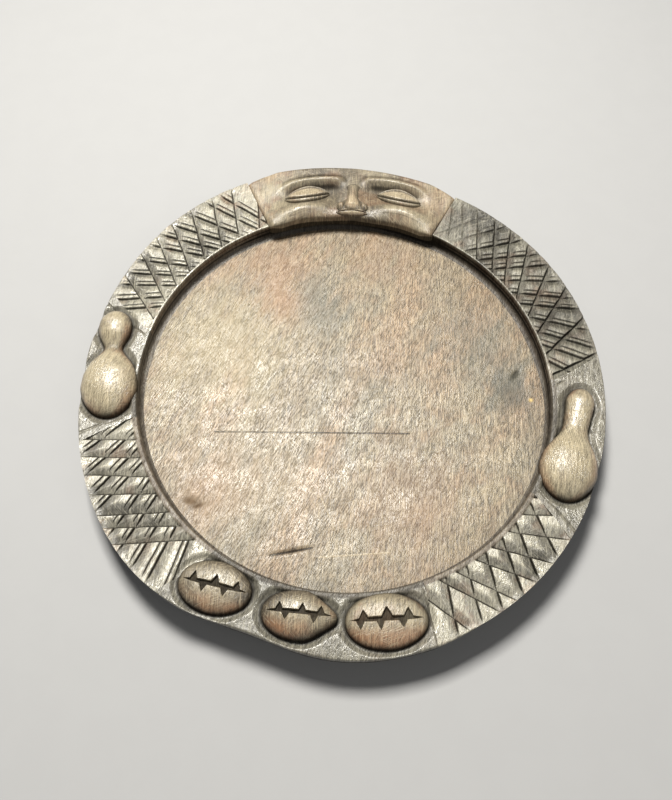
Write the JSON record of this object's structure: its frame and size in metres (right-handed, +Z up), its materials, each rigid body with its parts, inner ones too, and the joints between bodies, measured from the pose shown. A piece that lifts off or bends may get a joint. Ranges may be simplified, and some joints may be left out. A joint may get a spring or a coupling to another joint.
{
  "type": "carved wooden tray",
  "caption": "Shallow round wooden tray with a flat-floored well inside a wide rim carved with lattice, a calm face, gourds and shells.",
  "frame": {"origin": "on the flat resting face, under the middle of the tray's outline", "axes": "+Z up out of the well, +Y toward the face panel, +X to the right when the face panel is at the far side"},
  "size_m": [0.3014, 0.3173, 0.0335],
  "materials": {
    "board_wood": "worn satin, scraped floor",
    "rim_wood": "dark stained, dull",
    "lattice_wood": "dark stained, dull, chip carved",
    "relief_wood": "dark stained, polished by handling"
  },
  "bodies": {
    "root": {"base_board": "board_wood", "rim_ring": "rim_wood", "lattice_upper_left": "lattice_wood", "lattice_upper_right": "lattice_wood", "lattice_lower_left": "lattice_wood", "lattice_lower_right": "lattice_wood", "face_panel": "relief_wood", "face_eye_left": "relief_wood", "face_eye_right": "relief_wood", "face_nose": "relief_wood", "face_mouth": "relief_wood", "gourd_left": "relief_wood", "gourd_right": "relief_wood", "cowrie_left": "relief_wood", "cowrie_middle": "relief_wood", "cowrie_right": "relief_wood"}
  },
  "joints": []
}
